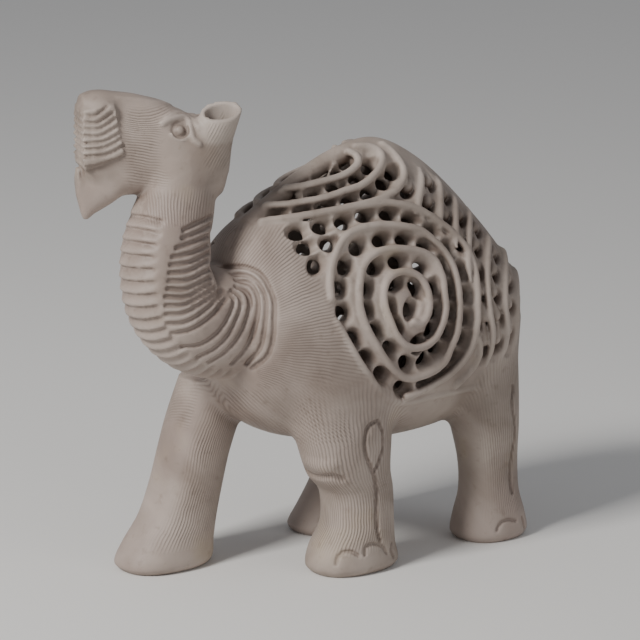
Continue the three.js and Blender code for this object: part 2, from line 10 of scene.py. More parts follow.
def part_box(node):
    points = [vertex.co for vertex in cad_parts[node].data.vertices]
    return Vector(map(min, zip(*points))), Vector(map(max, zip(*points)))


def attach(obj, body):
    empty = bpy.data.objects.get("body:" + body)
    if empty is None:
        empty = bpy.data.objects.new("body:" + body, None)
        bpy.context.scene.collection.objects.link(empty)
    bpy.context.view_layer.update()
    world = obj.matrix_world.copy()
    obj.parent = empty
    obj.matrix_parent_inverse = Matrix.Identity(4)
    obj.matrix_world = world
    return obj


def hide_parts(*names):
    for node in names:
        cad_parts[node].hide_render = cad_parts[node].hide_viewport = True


# A camel carved from one block of soapstone, with a hollow body pierced between spiral ribs.
# The stone is modelled as a distance field on a fine grid, in millimetres: soles on z = 0,
# +X the way the body faces, +Y the camel's left. It becomes one mesh at the end.
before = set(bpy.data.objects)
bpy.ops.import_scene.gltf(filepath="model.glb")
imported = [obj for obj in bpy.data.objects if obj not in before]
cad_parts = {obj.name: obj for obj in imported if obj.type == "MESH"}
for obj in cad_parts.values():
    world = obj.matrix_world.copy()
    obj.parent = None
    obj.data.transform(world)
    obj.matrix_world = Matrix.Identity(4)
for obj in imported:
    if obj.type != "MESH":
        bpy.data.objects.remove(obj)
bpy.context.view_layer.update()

HEIGHT = 125.0
SHARE = HEIGHT / 100             # the tables below are in hundredths of the height
WALL = 4.2                       # thickness of the pierced shell
REAR = -37.8 * SHARE - 1.4       # x of the tail's outer face
SHIFT = Vector((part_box("camel")[0][0] * 1000 - REAR, 0, 0))

GRID = 0.42
LOW = np.array([-52.0, -29.0, -2.0])
HIGH = np.array([79.0, 29.0, 127.5])
START = np.floor(LOW / GRID).astype(int)
COUNT = np.ceil(HIGH / GRID).astype(int) - START
FAR = 5.0                        # distances beyond this are not kept
TRIANGLES = 190000

# x, half width, lowest z, z of the widest place, crest z, roundness above it, roundness below it
BODY = [
    [-37.0, 8.0, 40.0, 49.0, 55.6, 1.9, 2.0],
    [-35.6, 12.0, 35.0, 49.5, 59.2, 1.85, 2.1],
    [-32.0, 15.4, 30.0, 49.0, 65.0, 1.7, 2.2],
    [-25.8, 18.6, 26.0, 47.5, 72.0, 1.58, 2.3],
    [-15.8, 20.0, 24.2, 46.7, 80.4, 1.5, 2.4],
    [-6.0, 20.4, 23.8, 46.0, 85.2, 1.5, 2.5],
    [3.0, 20.2, 24.3, 46.0, 84.4, 1.5, 2.5],
    [13.0, 19.4, 25.8, 47.0, 80.6, 1.6, 2.4],
    [23.0, 17.0, 28.5, 49.5, 75.0, 1.75, 2.2],
    [30.0, 13.5, 33.5, 52.0, 70.0, 1.9, 2.1],
    [34.5, 7.5, 41.7, 53.3, 62.5, 2.0, 2.0],
]

# z, x, y, half length, half width
LEGS = {
    "left front": [
        [0, 9.2, 12.1, 8.8, 6.3], [1.3, 9.2, 12.1, 10, 7.3], [5, 9.2, 12.1, 9.2, 7.1],
        [10, 7.9, 12.1, 7.5, 6.7], [16.7, 8.2, 12.1, 7.6, 6.5], [20.4, 10.3, 12.5, 8.8, 6.7],
        [26.5, 11.4, 12.5, 10.1, 7.1], [35, 11.8, 11.7, 11.6, 7.5], [46, 12.5, 10.4, 12.5, 7.5],
    ],
    "right front": [
        [0, 38.5, -12.9, 9.2, 6.7], [1.3, 38.5, -12.9, 10.4, 7.8], [5, 37.3, -12.9, 9.6, 7.5],
        [10, 34.9, -12.9, 8, 7.1], [16.7, 32.6, -12.9, 7.2, 7.1], [23.3, 30.6, -12.9, 7.1, 7.1],
        [30, 27.9, -12.9, 7.5, 7.3], [38.3, 23.6, -11.7, 9.4, 7.5],
    ],
    "left hind": [
        [0, -27.5, 12.1, 7.1, 6.1], [1.3, -27.5, 12.1, 8.2, 6.9], [5, -27.5, 12.1, 7.5, 6.7],
        [10, -27.4, 12.1, 6.2, 5.8], [16.7, -27, 12.1, 6.1, 5.8], [25, -26, 12.1, 7.2, 6.5],
        [35, -25.4, 10.8, 8.8, 6.7], [46, -25.4, 9.2, 9.4, 6.7],
    ],
    "right hind": [
        [0, -4.4, -12.9, 8.1, 6.3], [1.3, -4.4, -12.9, 9, 7.1], [5, -5.9, -12.9, 8, 6.7],
        [10, -8, -12.9, 6.7, 6.3], [16.7, -10.8, -12.9, 6.7, 6.3], [25, -14.2, -12.9, 8.3, 6.9],
        [35, -18.3, -11.7, 10, 7.5], [46, -21.7, -10, 10.8, 7.5],
    ],
}

# x, y, z of the neck's middle line, half depth, half width, from inside the chest up into the skull
NECK = [
    [21.7, 0, 53.3, 12.5, 10.8], [29.2, 0, 52.5, 12.1, 10.4], [37.5, -0.4, 53.3, 11.0, 9.8],
    [43.8, -0.8, 58.8, 10.0, 9.2], [45.2, -1.7, 68.3, 8.8, 8.2], [42.0, -2.4, 78.0, 7.2, 7.0],
    [40.2, -2.8, 85.5, 6.6, 6.0],
]

# distance forward in the head, top, bottom, half width, roundness
SKULL = [
    [-6.4, 89.5, 81.0, 2.5, 2.0], [-5.4, 91.2, 78.5, 4.6, 2.0], [-2.6, 93.4, 77.5, 6.3, 2.1],
    [1.5, 95.0, 77.5, 7.0, 2.2], [6.0, 97.2, 78.2, 6.6, 2.3], [10.5, 98.8, 79.6, 5.4, 2.5],
    [14.5, 99.6, 79.6, 4.6, 2.8], [20.0, 100, 81.0, 4.2, 3.0], [22.4, 99.4, 83.0, 3.7, 3.0],
]
JAW = [
    [10.5, 87.0, 79.4, 4.4, 2.2], [14.5, 86.8, 79.2, 4.3, 2.2], [17.0, 86.2, 77.6, 3.8, 2.1],
    [20.0, 85.6, 75.9, 3.0, 2.0], [22.3, 85.3, 74.9, 2.0, 2.0], [23.6, 85.2, 79.5, 1.6, 2.0],
]
HEAD_AT = np.array([37.5, -2.5, 0.0]) * SHARE
HEAD_TURN = math.radians(-22)
HEAD_FORWARD = np.array([math.cos(HEAD_TURN), math.sin(HEAD_TURN), 0.0])
HEAD_LEFT = np.array([-math.sin(HEAD_TURN), math.cos(HEAD_TURN), 0.0])
UP = np.array([0.0, 0.0, 1.0])

# The photo's camera, round the camel
TURN = math.radians(38)
TILT = math.radians(13.5)
DISTANCE = 885.4                 # from the camera to the point it aims at
PIXEL = 0.2604                   # millimetres of stone to one picture element, beside the camel's middle
PICTURE = 640
BACK = np.array([math.sin(TURN) * math.cos(TILT), math.cos(TURN) * math.cos(TILT), math.sin(TILT)])
RIGHT = np.array([-math.cos(TURN), math.sin(TURN), 0.0])
VIEW_UP = np.cross(BACK, RIGHT)
AIM_LEFT = 30                    # picture elements from the origin to the photo's middle
AIM_UP = 224
AIM = -RIGHT * AIM_LEFT * PIXEL + VIEW_UP * AIM_UP * PIXEL
EYE_POINT = AIM + BACK * DISTANCE
FOCAL = DISTANCE / PIXEL


# Curves and tables

def rows_at(rows, values):
    """Rows of a table at any values of its first column, on smooth curves through the rows."""
    rows = np.array(rows, dtype=float)
    values = np.atleast_1d(np.asarray(values, dtype=float))
    last = len(rows) - 1
    i = np.clip(np.searchsorted(rows[:, 0], values) - 1, 0, last - 1)
    a, b, c, d = rows[np.maximum(i - 1, 0)], rows[i], rows[i + 1], rows[np.minimum(i + 2, last)]
    span = c[:, :1] - b[:, :1]
    t = np.clip((values[:, None] - b[:, :1]) / span, 0, 1)
    leave = (c - a) / (c[:, :1] - a[:, :1]) * span
    arrive = (d - b) / (d[:, :1] - b[:, :1]) * span
    return ((2 * t**3 - 3 * t**2 + 1) * b + (t**3 - 2 * t**2 + t) * leave
            + (3 * t**2 - 2 * t**3) * c + (t**3 - t**2) * arrive)


def root_gap(p, q):
    """Square roots of the distances between pairs of points."""
    return np.maximum(np.linalg.norm(q - p, axis=1, keepdims=True), 1e-6) ** 0.5


def curve_at(points, t):
    """Points of a smooth curve through the given points, with t from 0 to 1."""
    p = np.array(points, dtype=float)
    p = np.vstack([2 * p[0] - p[1], p, 2 * p[-1] - p[-2]])
    s = np.clip(np.atleast_1d(t), 0, 1) * (len(p) - 3)
    i = np.minimum(s.astype(int), len(p) - 4)
    w = (s - i)[:, None]
    p0, p1, p2, p3 = p[i], p[i + 1], p[i + 2], p[i + 3]
    d0, d1, d2 = root_gap(p0, p1), root_gap(p1, p2), root_gap(p2, p3)
    leave = ((p1 - p0) / d0 - (p2 - p0) / (d0 + d1) + (p2 - p1) / d1) * d1
    arrive = ((p2 - p1) / d1 - (p3 - p1) / (d1 + d2) + (p3 - p2) / d2) * d1
    return (p1 + leave * w + (3 * (p2 - p1) - 2 * leave - arrive) * w**2
            + (2 * (p1 - p2) + leave + arrive) * w**3)


def run_along(points):
    """How far along a line each of its points is."""
    return np.concatenate([[0], np.cumsum(np.linalg.norm(np.diff(points, axis=0), axis=1))])


def columns_at(wanted, run, table):
    """Rows of a table at places between the ones that run gives."""
    return np.stack([np.interp(wanted, run, table[:, k]) for k in range(table.shape[1])], axis=1)


def evenly(points, step):
    """Points at even steps along a smooth curve through the given points."""
    fine = curve_at(points, np.linspace(0, 1, 40 * len(points)))
    run = run_along(fine)
    count = max(2, int(run[-1] / step) + 1)
    return columns_at(np.linspace(0, run[-1], count), run, fine)


def even(points, step=0.5):
    """Points at even steps along the straight pieces between points."""
    run = run_along(points)
    return columns_at(np.linspace(0, run[-1], max(2, int(run[-1] / step))), run, points)


def spaced(points, pitch):
    """Points of a line at even steps, with the line's direction there."""
    run = run_along(points)
    count = max(1, int(run[-1] / pitch))
    wanted = (np.arange(count) + 0.5) / count * run[-1]
    return columns_at(wanted, run, points), columns_at(wanted, run, directions(points))


def directions(points):
    """Unit directions of a line at its points."""
    ahead = np.gradient(points, axis=0)
    return ahead / np.maximum(np.linalg.norm(ahead, axis=1, keepdims=True), 1e-9)


def power(value, exponent):
    return np.sign(value) * np.abs(value) ** exponent


def smooth(low, high, value):
    """0 at low and 1 at high, with a soft start and end."""
    t = np.clip((value - low) / (high - low), 0, 1)
    return t * t * (3 - 2 * t)


# The grid

TRANSFORM = vdb.createLinearTransform(voxelSize=GRID)


def window(low, high):
    """The part of the grid round a box: slices, and the places of its cells along each axis."""
    first = np.clip(np.floor(np.asarray(low) / GRID).astype(int) - START, 0, COUNT)
    last = np.clip(np.ceil(np.asarray(high) / GRID).astype(int) - START + 1, 0, COUNT)
    cells = tuple(slice(a, b) for a, b in zip(first, last))
    x, y, z = [(np.arange(a, b) + s).astype(np.float32) * np.float32(GRID)
               for a, b, s in zip(first, last, START)]
    return cells, x[:, None, None], y[None, :, None], z[None, None, :]


def skin_distance(rings, reach, margin=3.0):
    """Signed distance to the closed skin through rings of points: the window's slices and the distances."""
    rings = np.asarray(rings, dtype=np.float32)
    count, sides = rings.shape[:2]
    points = np.vstack([rings.reshape(-1, 3), rings[0].mean(axis=0), rings[-1].mean(axis=0)])
    i, j = np.meshgrid(np.arange(count - 1), np.arange(sides), indexing="ij")
    a = i * sides + j
    b = i * sides + (j + 1) % sides
    quads = np.stack([a, b, b + sides, a + sides], axis=-1).reshape(-1, 4).astype(np.uint32)
    j = np.arange(sides)
    k = (j + 1) % sides
    end = (count - 1) * sides
    first_cap = np.stack([np.full(sides, len(points) - 2), k, j], axis=1)
    last_cap = np.stack([np.full(sides, len(points) - 1), end + j, end + k], axis=1)
    tris = np.vstack([first_cap, last_cap]).astype(np.uint32)
    grid = vdb.FloatGrid.createLevelSetFromPolygons(points, triangles=tris, quads=quads, transform=TRANSFORM,
                                                    halfWidth=reach / GRID)
    cells, *_ = window(points.min(axis=0) - margin, points.max(axis=0) + margin)
    out = np.empty([s.stop - s.start for s in cells], dtype=np.float32)
    grid.copyToArray(out, ijk=tuple(int(s.start + o) for s, o in zip(cells, START)))
    return cells, out


def soft_min(a, b, k):
    """The lesser of two fields, with a fillet about k wide where they meet."""
    h = np.maximum(k - np.abs(a - b), 0) / k
    return np.minimum(a, b) - h * h * (k * 0.25)


def soft_max(a, b, k):
    """The greater of two fields, with the edge between them eased over about k."""
    return -soft_min(-a, -b, k)


def add(field, cells, shape, k):
    """Join a shape to the stone in a part of the grid."""
    field[cells] = soft_min(field[cells], shape, k)


def cut(field, cells, shape, k):
    """Take a shape out of the stone in a part of the grid."""
    field[cells] = soft_max(field[cells], -shape, k)


def sample(field, points):
    """Values of a field at any points."""
    q = np.asarray(points) / GRID - START
    q = np.clip(q, 0, COUNT - 1.001)
    i = q.astype(int)
    f = q - i
    out = 0
    for dx in (0, 1):
        for dy in (0, 1):
            for dz in (0, 1):
                w = ((f[:, 0] if dx else 1 - f[:, 0]) * (f[:, 1] if dy else 1 - f[:, 1])
                     * (f[:, 2] if dz else 1 - f[:, 2]))
                out = out + w * field[i[:, 0] + dx, i[:, 1] + dy, i[:, 2] + dz]
    return out


def slope(field, points, step=0.8):
    """Unit directions straight out of the stone at points."""
    out = np.empty_like(points)
    for k in range(3):
        move = np.zeros(3)
        move[k] = step
        out[:, k] = sample(field, points + move) - sample(field, points - move)
    return out / np.maximum(np.linalg.norm(out, axis=1, keepdims=True), 1e-9)


def settle(field, points, rounds=3):
    """Points moved onto the skin of a field."""
    for _ in range(rounds):
        points = points - slope(field, points) * sample(field, points)[:, None]
    return points


def sweep(target, points, radius):
    """A round bar along points, kept as its distance in the target field."""
    radii = np.broadcast_to(radius, len(points))
    for p, r in zip(points, radii):
        near = r + 1.6
        cells, x, y, z = window(p - near, p + near)
        away = np.sqrt((x - p[0])**2 + (y - p[1])**2 + (z - p[2])**2) - r
        np.minimum(target[cells], away, out=target[cells])


# The photo's view

def seen_at(px, py, field):
    """The nearest point of the stone along each line of sight of the photo."""
    px, py = np.asarray(px, dtype=float), np.asarray(py, dtype=float)
    rays = (-BACK[None] + RIGHT[None] * ((px - PICTURE / 2) / FOCAL)[:, None]
            - VIEW_UP[None] * ((py - PICTURE / 2) / FOCAL)[:, None])
    steps = np.arange(DISTANCE - 90, DISTANCE + 90, 0.25)
    out = []
    for ray in rays:
        line = EYE_POINT[None] + ray[None] * steps[:, None]
        inside = np.all((line > LOW + 1) & (line < HIGH - 1), axis=1)
        line = line[inside]
        hit = np.nonzero(sample(field, line) < 0)[0]
        if len(hit):
            out.append(line[hit[0]])
    return np.array(out)


def picture_place(points):
    """Where points would be in the photo."""
    d = points - EYE_POINT
    depth = -(d @ BACK)
    return PICTURE / 2 + FOCAL * (d @ RIGHT) / depth, PICTURE / 2 - FOCAL * (d @ VIEW_UP) / depth


def traced(spots, field, step=0.5):
    """A line drawn on the near side by its places in the photo, as points on the stone."""
    xy = evenly(spots, step / PIXEL)
    points = seen_at(xy[:, 0], xy[:, 1], field)
    return settle(field, points, 1)


# The parts

def body_rings():
    """Rings of the barrel of the body, from the rump to the chest."""
    xs = np.linspace(BODY[0][0], BODY[-1][0], 110)
    angle = np.linspace(0, 2 * np.pi, 128, endpoint=False)
    rings = []
    for x, w, low, wide, top, above, below in rows_at(BODY, xs):
        n = np.where(np.sin(angle) > 0, above, below)
        reach = np.where(np.sin(angle) > 0, top - wide, wide - low)
        y = w * power(np.cos(angle), 2 / n)
        z = wide + reach * power(np.sin(angle), 2 / n)
        rings.append(np.stack([np.full_like(y, x), y, z], axis=1) * SHARE)
    return np.array(rings)


def on_flank(spots, side):
    """Points on the body's side from their x and z."""
    spots = np.asarray(spots, dtype=float)
    _, w, low, wide, top, above, below = rows_at(BODY, spots[:, 0]).T
    z = spots[:, 1]
    n = np.where(z > wide, above, below)
    rise = np.clip(np.abs(z - wide) / np.where(z > wide, top - wide, wide - low), 0, 0.995)
    y = w * (1 - rise**n) ** (1 / n)
    return np.stack([spots[:, 0], side * y, z], axis=1) * SHARE


def on_top(x, y):
    """Points on the upper half of the body from their x and y."""
    _, w, _, wide, top, above, _ = rows_at(BODY, x).T
    z = wide + (top - wide) * (1 - (np.abs(y) / w) ** above) ** (1 / above)
    return np.stack([x, y, z], axis=1) * SHARE


def oval_ring(centre, across, up, roundness, sides=64):
    """A ring round a centre, reaching out by two half-widths given as directions."""
    angle = (np.arange(sides) + 0.5) / sides * 2 * np.pi
    return (centre + np.outer(power(np.cos(angle), 2 / roundness), across)
            + np.outer(power(np.sin(angle), 2 / roundness), up))


def leg_rings(rows):
    """Rings of a leg, from the sole up into the body."""
    rings = []
    for z, x, y, length, width in rows_at(rows, np.linspace(rows[0][0], rows[-1][0], 70)) * SHARE:
        rings.append(oval_ring(np.array([x, y, z]), np.array([length, 0, 0]), np.array([0, width, 0]), 2.4))
    return rings


NECK_PITCH = 3.25                # from ridge to ridge down the throat
NECK_DEPTH = 1.5                 # how deep the cuts between the ridges are
NECK_SHEAR = 0.32                # how steeply the ridges rise towards the nape
NECK_RIDGED = 0.84               # the share of the throat that has ridges


def neck_rings():
    """Rings of the neck, with ridges across the throat."""
    sides = 96
    angle = (np.arange(sides) + 0.5) / sides * 2 * np.pi
    rows = [[i / (len(NECK) - 1), r[3] * SHARE, r[4] * SHARE] for i, r in enumerate(NECK)]
    t = np.linspace(0, 1, 400)
    line = curve_at(np.array([r[:3] for r in NECK]) * SHARE, t)
    ahead = directions(line)
    side = np.array([0, 1.0, 0]) - ahead * ahead[:, 1:2]
    side /= np.linalg.norm(side, axis=1, keepdims=True)
    front = np.cross(side, ahead)
    sizes = rows_at(rows, t)
    throat = line + front * sizes[:, 1:2]
    run = run_along(throat)
    ridged = run[-1] * NECK_RIDGED
    pitch = ridged / round(ridged / NECK_PITCH)
    away = np.degrees(np.abs(np.arctan2(np.sin(angle), np.cos(angle))))
    deep = NECK_DEPTH * (1 - smooth(38, 50, away))
    rings = []
    for wanted in np.arange(0, run[-1], 0.3):
        k = np.interp(wanted, run, np.arange(len(run)))
        pick = lambda table: np.array([np.interp(k, np.arange(len(table)), table[:, c]) for c in range(3)])
        centre, forward, out, left = pick(line), pick(ahead), pick(front), pick(side)
        size = pick(sizes)
        share = wanted / pitch % 1
        profile = share**1.6 * smooth(1.0, 0.86, share) if wanted < ridged else 0
        inset = deep * profile
        p = (centre + np.outer(power(np.cos(angle), 2 / 2.2) * (size[1] - inset), out)
             + np.outer(power(np.sin(angle), 2 / 2.2) * (size[2] - inset), left))
        behind = np.maximum(size[1] * 0.55 - (p - centre) @ out, 0)
        rings.append(p + np.outer(NECK_SHEAR * behind, forward))
    return rings


def in_head(forward, left, z):
    """A point from its distances forward and left in the head, and its height."""
    return HEAD_AT + HEAD_FORWARD * forward + HEAD_LEFT * left + UP * z


def head_rings(rows):
    """Rings of the skull or the jaw, from the back forward."""
    rings = []
    for s, top, bottom, width, roundness in rows_at(rows, np.linspace(rows[0][0], rows[-1][0], 60)):
        centre = in_head(s * SHARE, 0, (top + bottom) / 2 * SHARE)
        rings.append(oval_ring(centre, HEAD_LEFT * width * SHARE, UP * (top - bottom) / 2 * SHARE, roundness))
    return rings


def head_window(s_range, reach, z_range):
    """The grid round part of the head, in the head's own directions."""
    corners = np.array([in_head(s * SHARE, side * reach * SHARE, z * SHARE)
                        for s in s_range for side in (-1, 1) for z in z_range])
    cells, x, y, z = window(corners.min(axis=0), corners.max(axis=0))
    dx, dy = x - HEAD_AT[0], y - HEAD_AT[1]
    s = dx * HEAD_FORWARD[0] + dy * HEAD_FORWARD[1]
    left = dx * HEAD_LEFT[0] + dy * HEAD_LEFT[1]
    return cells, s + 0 * z, left + 0 * z, z + 0 * s


LIP_BACK = 14.3
LIP_FRONT = 22.9
LIP_TOP = 97.0
LIP_BOTTOM = 85.2
LIP_CHEEK = 4.2 * SHARE + 1.1    # from the head's middle to the face of the plate
LIP_BUMP = 1.6                   # from bump to bump down the plate's front edge
NOSE_FORWARD = 18.9              # the middle of the nose's cap
NOSE_TOP = 96.9
NOSE_LENGTH = 4.3                # half of the cap's size each way
NOSE_WIDTH = 5.2
NOSE_HEIGHT = 3.1


def lip(stone):
    """The plate of the upper lip, with small bumps down its front edges, and the rounded cap of the nose."""
    cells, s, left, z = head_window((12, 25), 8, (80, 101))
    behind = LIP_FRONT * SHARE - s
    bottom = LIP_BOTTOM * SHARE + 0.3 * behind
    top = LIP_TOP * SHARE + 0.13 * behind
    wide = LIP_CHEEK - 0.25 * (1 - smooth(1.6, 2.4, behind))
    bumps = 0.22 * np.sin(z * 2 * np.pi / LIP_BUMP)
    back = LIP_BACK * SHARE + 0.2 * (z - LIP_BOTTOM * SHARE)
    shape = np.maximum.reduce([np.abs(left) - wide, back - s, s - LIP_FRONT * SHARE - bumps,
                               bottom - z, z - top])
    add(stone, cells, shape.astype(np.float32), 0.4)
    reach = np.sqrt(((s - NOSE_FORWARD * SHARE) / NOSE_LENGTH)**2 + (left / NOSE_WIDTH)**2
                    + ((z - NOSE_TOP * SHARE) / NOSE_HEIGHT)**2)
    cap = (reach / SHARE - 1) * NOSE_HEIGHT * SHARE
    add(stone, cells, cap.astype(np.float32), 0.9)


# Lines drawn on the near side, as places in the photo

NECK_ARCS = [
    [(220, 267), (244, 267), (260, 274), (270, 290), (274, 302), (274, 318), (273, 338), (267, 356),
     (252, 368)],
    [(232, 274), (248, 276), (260, 286), (265, 298), (266, 310), (264, 330), (260, 348), (247, 364)],
    [(236, 280), (250, 284), (257, 296), (258, 310), (254, 330), (246, 348), (232, 364)],
    [(236, 286), (246, 292), (250, 302), (247, 318), (239, 336), (226, 351), (208, 363)],
    [(232, 290), (240, 297), (241, 306), (236, 320), (226, 338), (212, 350), (196, 358)],
    [(229, 293), (234, 300), (231, 312), (219, 331), (201, 344), (181, 347)],
]
NECK_SIDES = [
    [(184, 230), (200, 222), (217, 214)], [(183, 238), (200, 231), (219, 220)],
    [(177, 248), (196, 241), (216, 232)], [(173, 257), (194, 252), (214, 242)],
    [(171, 265), (190, 262), (210, 252)], [(170, 273), (188, 271), (209, 260)],
    [(169, 281), (188, 280), (210, 269)], [(168, 289), (186, 289), (211, 277)],
    [(166, 297), (186, 297), (212, 283)], [(166, 306), (184, 305), (204, 295), (216, 287)],
    [(166, 315), (184, 313), (206, 301), (221, 290)], [(168, 324), (186, 322), (208, 308), (224, 292)],
    [(172, 334), (192, 329), (212, 315), (227, 297)],
]
TENDONS = [
    [(377, 421), (369, 426), (365, 438), (366, 455), (372, 470), (376, 487), (376, 510), (377, 530),
     (380, 541)],
    [(378, 421), (382, 431), (383, 445), (380, 458), (375, 471)],
    [(513, 386), (512, 405), (515, 425), (514, 442), (511, 458), (510, 475), (512, 493)],
]
TOENAILS = [
    [(336, 564), (338, 557), (344, 552), (352, 552), (359, 556)],
    [(365, 555), (365, 548), (372, 544), (382, 546), (387, 553)],
    [(392, 543), (391, 550), (394, 557)],
    [(497, 530), (500, 524), (507, 520), (516, 521)],
    [(522, 517), (524, 524), (525, 531)],
]
KNEE_CAP = [(308, 462), (318, 466), (332, 466)]
KNEE_CREASE = [(305, 470), (310, 474), (318, 477), (332, 476), (342, 479)]
LIP_LINES = [
    [(80, 114), (94, 116), (102, 111), (107, 107)], [(80, 122), (97, 123), (105, 118), (112, 113)],
    [(80, 129), (99, 129), (108, 124), (115, 119)], [(81, 136), (100, 136), (110, 131), (118, 126)],
    [(82, 144), (102, 142), (112, 138), (120, 133)], [(83, 150), (103, 148), (113, 144), (121, 139)],
    [(84, 157), (105, 155), (115, 151), (123, 146)],
]
SNOUT_EDGE = [(118, 98), (132, 99), (148, 101), (167, 104), (182, 109), (196, 116)]
LIP_STRIP = [(79, 108), (80, 136), (81, 160), (83, 167)]
MOUTH = [(84, 168), (97, 166), (111, 162), (124, 157)]
BROW = [(162, 124), (169, 120), (177, 118), (185, 118), (189, 123), (191, 132), (193, 139), (199, 144)]
BROW_EDGE = [(167, 117), (178, 113), (190, 118), (199, 128)]
LOWER_LID = [(172, 135), (180, 139), (186, 137), (190, 134)]
EYE = (180, 130)
EYE_GROOVE = 1.75                # radius of the groove round the eye's bead
EYE_BEAD = 1.35


def fresh():
    """A field with nothing in it."""
    return np.full(COUNT, FAR, dtype=np.float32)


def in_mirror(points, centre, across):
    """Points on the other side of a plane through a centre."""
    return points - 2 * np.outer((points - centre) @ across, across)


def middle_at(z):
    """How far to the left the middle of the body, neck and head is, going up."""
    heights, middles = zip(*[(row[2] * SHARE, row[1] * SHARE) for row in NECK[2:]])
    return np.interp(z, heights, middles)


def both_sides(points, stone, head=False):
    """A line on the near side, and its twin on the far side."""
    if head:
        other = in_mirror(points, HEAD_AT, HEAD_LEFT)
        far = settle(stone, other, 4)
        return [points, far[(far - HEAD_AT) @ HEAD_LEFT < -0.5]]
    other = points.copy()
    other[:, 1] = 2 * middle_at(points[:, 2]) - points[:, 1]
    far = settle(stone, other, 4)
    return [points, far[far[:, 1] < middle_at(far[:, 2]) - 1.0]]


def bar_along(target, stone, spots, radius, lift, mirror=True, head=False):
    """A bar along a traced line and its twin, with its middle lifted off the skin."""
    points = traced(spots, stone)
    for line in both_sides(points, stone, head)[:2 if mirror else 1]:
        sweep(target, line + slope(stone, line) * lift, radius)


def draw(stone):
    """The lines and folds that were cut after the main form."""
    raised = fresh()
    for spots, radius, height in ((BROW, 0.8, 0.8), (BROW_EDGE, 0.9, 0.5), (LOWER_LID, 0.6, 0.6),
                                  (SNOUT_EDGE, 1.0, 0.35)):
        bar_along(raised, stone, spots, radius, height - radius, head=True)
    bar_along(raised, stone, KNEE_CAP, 3.2, 0.7 - 3.2, mirror=False)
    cut_lines = fresh()
    sets = (
        # lines, radius, depth, on both sides, in the head
        (NECK_ARCS, 0.65, 0.8, True, False),
        (NECK_SIDES, 0.75, 0.85, True, False),
        (TENDONS, 0.55, 0.8, False, False),
        (TOENAILS, 0.5, 0.7, False, False),
        ([KNEE_CREASE], 1.1, 0.7, False, False),
        (LIP_LINES, 0.55, 0.65, True, True),
        ([LIP_STRIP], 0.4, 0.3, True, True),
        ([MOUTH], 0.5, 0.7, True, True),
    )
    for lines, radius, depth, mirror, head in sets:
        for spots in lines:
            bar_along(cut_lines, stone, spots, radius, radius - depth, mirror, head)
    # the eye: a bead in a round groove
    eye = seen_at([EYE[0]], [EYE[1]], stone)
    for centre in both_sides(eye, stone, head=True):
        out = slope(stone, centre)[0]
        side = np.cross(out, UP)
        side /= np.linalg.norm(side)
        high = np.cross(side, out)
        angle = np.linspace(0, 2 * np.pi, 30)[:, None]
        ring = centre + (side * np.cos(angle) + high * np.sin(angle)) * EYE_GROOVE
        sweep(cut_lines, ring + out * 0.1, 0.6)
    stone = soft_min(stone, raised, 0.3)
    stone = soft_max(stone, -cut_lines, 0.25)
    bead = fresh()
    for centre in both_sides(eye, stone, head=True):
        sweep(bead, centre - slope(stone, centre) * 0.75, EYE_BEAD)
    return soft_min(stone, bead, 0.15)


# height, distance forward, distance out, half length and half width of an ear, from its root to its rim
EAR = [
    [84.0, -2.2, 3.2, 3.2, 1.8], [88.5, -2.5, 4.0, 4.0, 2.2], [92.0, -3.4, 4.6, 4.1, 2.4],
    [95.8, -4.5, 5.0, 4.1, 2.6],
]
EAR_TILT = 0.62                  # how far the opening leans outward
EAR_PITCH = 0.12                 # and how far it dips towards the front
EAR_WALL = 1.1
EAR_FLOOR = 90.5                 # where the cup's hollow starts
FAR_EAR_DROP = 3.2               # the far ear sits lower


def ear(stone, side):
    """One ear, a cup that opens upward and outward."""
    root, rim = EAR[0][0], EAR[-1][0]
    drop = FAR_EAR_DROP if side < 0 else 0

    def ring(z, inset, lift=0):
        _, s, left, length, width = rows_at(EAR, z)[0]
        lean = smooth(88, 95, z)
        centre = in_head(s * SHARE, left * side * SHARE, (z + lift - drop) * SHARE)
        across = HEAD_LEFT * side * (width * SHARE - inset)
        across[2] = -EAR_TILT * lean * (width * SHARE - inset)
        along = HEAD_FORWARD * (length * SHARE - inset)
        along[2] = -EAR_PITCH * lean * length * SHARE
        return oval_ring(centre, along, across, 2)

    cells, outer = skin_distance([ring(z, 0) for z in np.linspace(root, rim, 30)], 3)
    inner = [ring(z, EAR_WALL) for z in np.linspace(EAR_FLOOR, rim, 12)]
    inner += [ring(rim, EAR_WALL - 0.2 * lift, lift) for lift in (0.7, 1.4, 2)]
    inner_cells, hollow = skin_distance(inner, 3)
    add(stone, cells, outer, 3.2)
    cut(stone, inner_cells, hollow, 0.5)


# The carved blanket

# The spiral rib from its inner end outward, and the rib that runs round it, as places in the photo
SPIRAL = [
    (413, 322), (420, 324), (426, 317), (429, 305), (427, 291), (421, 279), (411, 273), (400, 272),
    (390, 277), (384, 288), (384, 304), (389, 319), (396, 335), (404, 344), (414, 348), (424, 346),
    (434, 339), (441, 326), (445, 311), (444, 294), (441, 275), (434, 260), (424, 253), (409, 249.5),
    (391, 249), (379, 251.5), (369, 258), (363, 266), (360, 279), (359, 296), (361, 312), (367, 329),
    (376, 345), (386, 361), (396, 372), (406, 378), (421, 376), (436, 369), (445, 360), (451, 346),
    (456, 334), (459, 311), (458, 291), (454, 271), (444, 252), (429, 237), (419, 230), (400, 226),
    (386, 225), (371, 226), (356, 230), (345, 237), (337, 250), (332, 265), (330, 282), (331, 298),
]
OUTER_RIB = [
    (406, 396), (417, 392), (429, 386), (447, 375), (461, 362), (471, 346), (476, 328), (477, 306),
    (476, 282), (472, 262), (464, 246), (451, 232), (437, 221), (423, 212), (407, 206), (386, 203),
    (369, 205), (353, 207), (338, 210),
]
